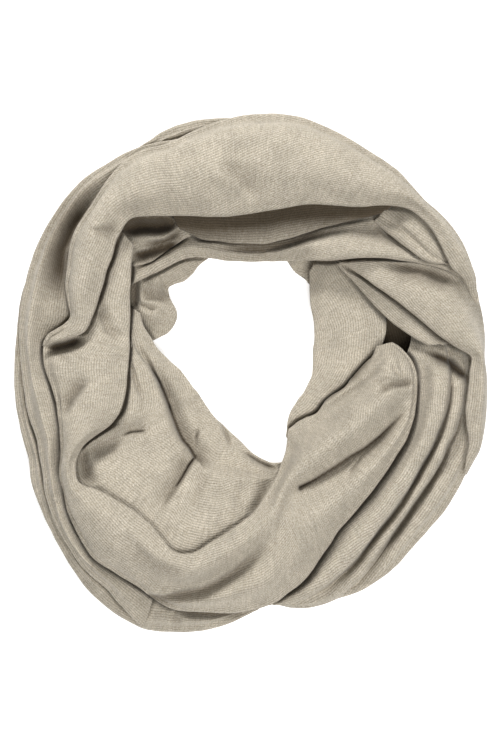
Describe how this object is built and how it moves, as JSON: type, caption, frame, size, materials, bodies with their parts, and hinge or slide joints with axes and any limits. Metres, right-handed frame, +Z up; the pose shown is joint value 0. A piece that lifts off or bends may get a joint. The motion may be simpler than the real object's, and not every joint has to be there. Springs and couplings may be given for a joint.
{
  "type": "infinity scarf",
  "caption": "Closed loop of fine heather knit lying flat, wound in two turns: an open ring of soft folded rolls that goes over the head and round the neck.",
  "frame": {"origin": "on the surface the scarf lies on, under the middle of its outline", "axes": "+Z up from the surface, +Y from the swag at the bottom towards the broad top band, +X to the right as seen from above"},
  "size_m": [0.3726, 0.4056, 0.076],
  "materials": {
    "heather_knit": "matte fine knit, beige heather"
  },
  "bodies": {
    "root": {"top_stretch": "heather_knit", "under_top_fold": "heather_knit", "top_right_folds": "heather_knit", "hole_top_band": "heather_knit", "right_band": "heather_knit", "right_under_roll": "heather_knit", "right_inner_panel": "heather_knit", "swag_stretch": "heather_knit", "right_stretch": "heather_knit", "inner_left_stretch": "heather_knit", "corner_folds": "heather_knit", "corner_lobe": "heather_knit", "outer_left_stretch": "heather_knit", "back_stretch": "heather_knit", "hidden_layers": "heather_knit"}
  },
  "joints": []
}
